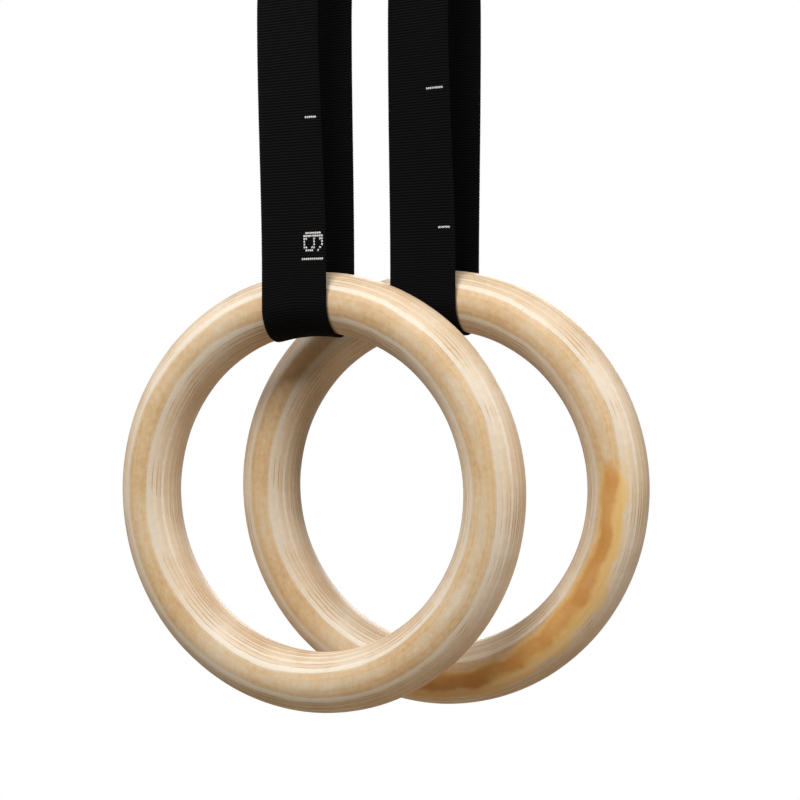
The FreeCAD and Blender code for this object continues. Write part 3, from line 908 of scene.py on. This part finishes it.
# %% Sew the fold and the hem
STITCH = 3.2 * MM
ROW_GAP = 4.5 * MM
STITCH_SIZE = (1.25 * MM, 0.24 * MM, 0.24 * MM)
STITCH_SINK = 0.05 * MM


def thread_material():
    """Twisted black polyester thread: smoother than the webbing, so it catches a little more light."""
    material, tree, shader = new_material("bonded_polyester_thread", Roughness=0.5,
                                          Specular_IOR_Level=0.4)
    place = add_node(tree, "TexCoord", {}, out="Object")
    twist = add_node(tree, "Mapping", {"Vector": place, "Rotation": (0, math.radians(35), 0)})
    plies = add_node(tree, "TexWave", {"Vector": twist, "Scale": 900.0, "Distortion": 1.0})
    # painted light and shade: the twist pattern that makes the relief also paints the ply tops lighter
    # and the grooves between them darker
    colour = add_node(tree, "Mix", {0: plies, 6: hex_colour("#0d0d0e"), 7: hex_colour("#2b2b2f")},
                      out=2, data_type="RGBA")
    tree.links.new(colour, shader.inputs["Base Color"])
    relief = add_node(tree, "Bump", {"Height": plies, "Distance": 0.05 * MM})
    tree.links.new(relief, shader.inputs["Normal"])
    return material


black_thread = thread_material()


def sew(hanger, what, body, back_face):
    """Rows of stitches across two layers of webbing, on the front face and on the back one."""
    low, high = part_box(f"{hanger.side}_{what}_stitches")
    middle = (low.x + high.x) / 2
    count = int((high.x - low.x) / STITCH)
    rows = round((high.z - low.z) / ROW_GAP) + 1
    nothing_selected()
    bpy.ops.mesh.primitive_uv_sphere_add(segments=8, ring_count=6, radius=1, location=(0, 0, 0),
                                         scale=STITCH_SIZE)
    pattern = bpy.context.object
    stitches = []
    for face_y in (high.y - STITCH_SINK, back_face + STITCH_SINK):
        for row in range(rows):
            up = low.z + (high.z - low.z) * row / (rows - 1)
            for number in range(count):
                across = middle + (number - (count - 1) / 2) * STITCH
                stitches.append(copied(pattern, (across, face_y, up)))
    bpy.data.objects.remove(pattern)
    seam = settle(joined(stitches), f"{hanger.side}_{what}_seam", black_thread, 60)
    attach(seam, hanger.body(body))
    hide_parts(f"{hanger.side}_{what}_stitches")
    return seam


for side, hanger in hangers.items():
    fold_seam = sew(hanger, "fold", "hanger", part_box(f"{side}_front_run")[1].y)
    hem_seam = sew(hanger, "hem", "tail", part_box(f"{side}_tail_hem")[1].y)
    print(side, "seams:", triangles(fold_seam), "and", triangles(hem_seam), "triangles")

# %% [markdown]
# ## The cam buckle
#
# The frame is pressed from steel strip and nickel plated, the lever is cast in zinc, the pins
# are turned from bright bar, and the spring is wound from dark tempered wire. The CAD shapes
# are right, but their edges are razor sharp, and no real edge is. So each one is copied, its
# loose triangles are merged, and a small bevel is put on its edges to catch the light.

# %% Metals
def metal(name, code, worn_code, roughness, grain, relief):
    """A metal with a fine directional grain, dull patches where it is handled, and light wear."""
    material, tree, shader = new_material(name, Metallic=1.0)
    place = add_node(tree, "TexCoord", {}, out="Object")
    drawn = add_node(tree, "Mapping", {"Vector": place, "Scale": grain})
    lines = add_node(tree, "TexNoise", {"Vector": drawn, "Scale": 1.0, "Detail": 5.0, "Roughness": 0.7})
    patches = add_node(tree, "TexNoise", {"Vector": place, "Scale": 130.0, "Detail": 3.0})
    dull = add_node(tree, "MapRange", {0: patches, 1: 0.45, 2: 0.85, 3: 0.0, 4: 0.3})
    colour = add_node(tree, "Mix", {0: dull, 6: hex_colour(code), 7: hex_colour(worn_code)}, out=2,
                      data_type="RGBA")
    tree.links.new(colour, shader.inputs["Base Color"])
    gloss = add_node(tree, "MapRange", {0: lines, 1: 0.3, 2: 0.7, 3: roughness * 0.75,
                                        4: roughness * 1.35})
    duller = add_node(tree, "Math", {0: dull, 1: 0.18, 2: gloss}, operation="MULTIPLY_ADD")
    tree.links.new(duller, shader.inputs["Roughness"])
    height = add_node(tree, "Bump", {"Height": lines, "Distance": relief, "Strength": 0.8})
    tree.links.new(height, shader.inputs["Normal"])
    return material


# grains are per metre: the frame is brushed across, the casting is sandy, the pins are turned
nickel_plate = metal("nickel_plated_pressed_steel", "#b4b1ab", "#8f8c86", 0.45, (110, 2600, 2600),
                     0.02 * MM)
cast_zinc = metal("die_cast_zinc", "#a7a8aa", "#7f8083", 0.4, (1700, 1700, 1700), 0.05 * MM)
bright_steel = metal("turned_bright_steel", "#b9babd", "#8f9093", 0.28, (5200, 140, 140), 0.015 * MM)
spring_wire = metal("tempered_spring_wire", "#5d5a58", "#3b3534", 0.3, (900, 900, 900), 0.01 * MM)
print("metals:", nickel_plate.name, cast_zinc.name, bright_steel.name, spring_wire.name)

# %% Finish the buckles
BUCKLE_PARTS = [("buckle_frame", "pressed_frame", nickel_plate, 0.35 * MM, "hanger", "plated_steel"),
                ("cam_lever", "cast_lever", cast_zinc, 0.25 * MM, "cam", "cast_zinc"),
                ("anchor_pin", "turned_anchor_pin", bright_steel, 0.2 * MM, "hanger", "bright_steel"),
                ("cam_pin", "turned_cam_pin", bright_steel, 0.2 * MM, "hanger", "bright_steel"),
                ("cam_spring", "wound_spring", spring_wire, 0, "hanger", "spring_steel")]


def finish_part(hanger, node, name, material, bevel, body, slot):
    """Copy a CAD node, merge it, soften its edges and give it its metal."""
    source = next(o for o in bpy.data.objects if o.get("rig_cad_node") == f"{hanger.side}_{node}")
    mesh = source.data.copy()
    mesh.transform(source.matrix_world)
    part = bpy.data.objects.new(name, mesh)
    bpy.context.collection.objects.link(part)
    only(part)
    bpy.ops.object.mode_set(mode="EDIT")
    bpy.ops.mesh.select_all(action="SELECT")
    bpy.ops.mesh.remove_doubles(threshold=0.002 * MM)
    bpy.ops.object.mode_set(mode="OBJECT")
    if bevel:
        edges = part.modifiers.new("soft_edges", "BEVEL")
        edges.width = bevel
        edges.segments = 2
        edges.limit_method = "ANGLE"
        edges.angle_limit = math.radians(40)
        edges.use_clamp_overlap = True
        bpy.ops.object.modifier_apply(modifier=edges.name)
    settle(part, f"{hanger.side}_{name}", material, 35)
    # the wide faces set the shading, or it would run from each bevel across the flat beside it
    only(part)
    flats = part.modifiers.new("flat_faces", "WEIGHTED_NORMAL")
    flats.keep_sharp = True
    bpy.ops.object.modifier_apply(modifier=flats.name)
    nothing_selected()
    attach(part, hanger.body(body))
    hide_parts(f"{hanger.side}_{node}")
    return part


for hanger in hangers.values():
    for node, name, material, bevel, body, slot in BUCKLE_PARTS:
        part = finish_part(hanger, node, name, material, bevel, body, slot)
        print(part.name, triangles(part), "triangles")

# %% [markdown]
# ## Studio
#
# Product light is broad and soft. The main softbox hangs in front, halfway up, so the crowns
# are creamy, the undersides fall away to brown, and the front ring throws a soft shadow on the
# rear one. Weaker ones at the right, the left and behind open the shadows, more on the right.
# The camera sees plain white behind, and polished metal mirrors an even grey.

# %% Light, backdrop and floor
scene = bpy.context.scene
scene.view_settings.view_transform = "Standard"
AMBIENT = 0.03


def softbox(name, place, size, power):
    """A square light that faces the middle of the rings."""
    nothing_selected()
    bpy.ops.object.light_add(type="AREA", location=aim + Vector(place))
    light = bpy.context.object
    light.name = name
    light.data.size = size
    light.data.energy = power
    light.rotation_euler = (-Vector(place)).to_track_quat("-Z", "Y").to_euler()
    return light


softbox("key", (-0.05, -1.4, 1.4), 0.9, 36)
softbox("right", (1.7, -0.4, 0.9), 1.2, 25)
softbox("left", (-1.7, -0.4, 1.0), 1.2, 18)
softbox("back", (-0.4, 1.8, 0.8), 1.2, 22)

world = bpy.data.worlds.new("white_studio")
world.use_nodes = True
scene.world = world
studio_light = world.node_tree.nodes["Background"]
studio_light.inputs["Color"].default_value = hex_colour("#ffd3a2")
studio_light.inputs["Strength"].default_value = AMBIENT
backdrop = add_node(world.node_tree, "Background", {"Color": hex_colour("#ffffff"), "Strength": 1.0})
mirrored = add_node(world.node_tree, "Background", {"Color": hex_colour("#f2f4f7"), "Strength": 0.35})
rays = add_node(world.node_tree, "LightPath", {}).node.outputs
lit = add_node(world.node_tree, "MixShader", {0: rays["Is Glossy Ray"], 1: studio_light.outputs[0],
                                              2: mirrored})
both = add_node(world.node_tree, "MixShader", {0: rays["Is Camera Ray"], 1: lit, 2: backdrop})
world.node_tree.links.new(both, world.node_tree.nodes["World Output"].inputs["Surface"])

nothing_selected()
bpy.ops.mesh.primitive_circle_add(vertices=96, radius=0.8, fill_type="NGON", location=(0, 0, -1.5))
floor = bpy.context.object
painted, tree, shader = new_material("pale_painted_floor", Roughness=0.7)
mottle = add_node(tree, "TexNoise", {"Vector": add_node(tree, "TexCoord", {}, out="Object"),
                                     "Scale": 4.0, "Detail": 3.0})
paint = add_node(tree, "ValToRGB", {0: mottle}, stops=[(0.3, "#e6cba6"), (0.7, "#ecd3b0")])
tree.links.new(paint, shader.inputs["Base Color"])
settle(floor, "studio_floor", painted)
floor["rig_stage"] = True

# %% [markdown]
# ## The two boxes
#
# The finished model may stand a little proud of the CAD model. Both boxes are printed so that they can
# be compared.

# %% Print the two boxes and finish
full_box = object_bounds()
[[list(corner) for corner in box] for box in (cad_box, full_box)]
print("CAD box", [[round(c, 4) for c in corner] for corner in cad_box])
print("full box", [[round(c, 4) for c in corner] for corner in full_box])
